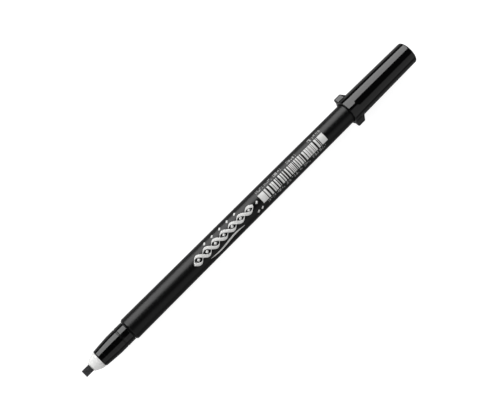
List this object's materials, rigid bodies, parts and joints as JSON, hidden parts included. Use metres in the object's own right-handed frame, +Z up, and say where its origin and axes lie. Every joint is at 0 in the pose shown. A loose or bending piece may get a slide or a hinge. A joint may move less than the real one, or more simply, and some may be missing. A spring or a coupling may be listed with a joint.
{
  "type": "calligraphy marker",
  "caption": "Fibre-reservoir marker with a flat chisel nib in a white cone, matt tapering barrel, and a glossy cap with anti-roll wings posted on the tail.",
  "frame": {"origin": "midway between the nib's edge and the cap's end, below the pen's axis, on the surface that the pen lies on", "axes": "+X along the pen's axis from the nib to the cap's end, +Z up from the surface, the nib's width and the cap's wings along Y"},
  "size_m": [0.148, 0.012, 0.0095],
  "materials": {
    "barrel_plastic": "matt black moulded plastic with white print",
    "gloss_black": "polished black moulded plastic",
    "white_plastic": "satin white moulded plastic",
    "inked_fibre": "bonded fibre soaked with black ink",
    "reservoir_fibre": "bundled fibre soaked with black ink",
    "clear_film": "thin clear film",
    "white_ink": "white pad-printed ink on the barrel",
    "milky_plastic": "soft milky polyethylene"
  },
  "bodies": {
    "pen": {"barrel": "barrel_plastic", "tail_plug": "barrel_plastic", "front_section": "gloss_black", "nib_holder": "white_plastic", "chisel_nib": "inked_fibre", "ink_reservoir": "reservoir_fibre", "reservoir_film": "clear_film"},
    "cap": {"cap_shell": "gloss_black", "inner_cap": "milky_plastic"}
  },
  "joints": [
    {"name": "cap_pull", "type": "slide", "parent": "pen", "child": "cap", "axis": [1, 0, 0], "range_m": [0, 0.03]}
  ]
}
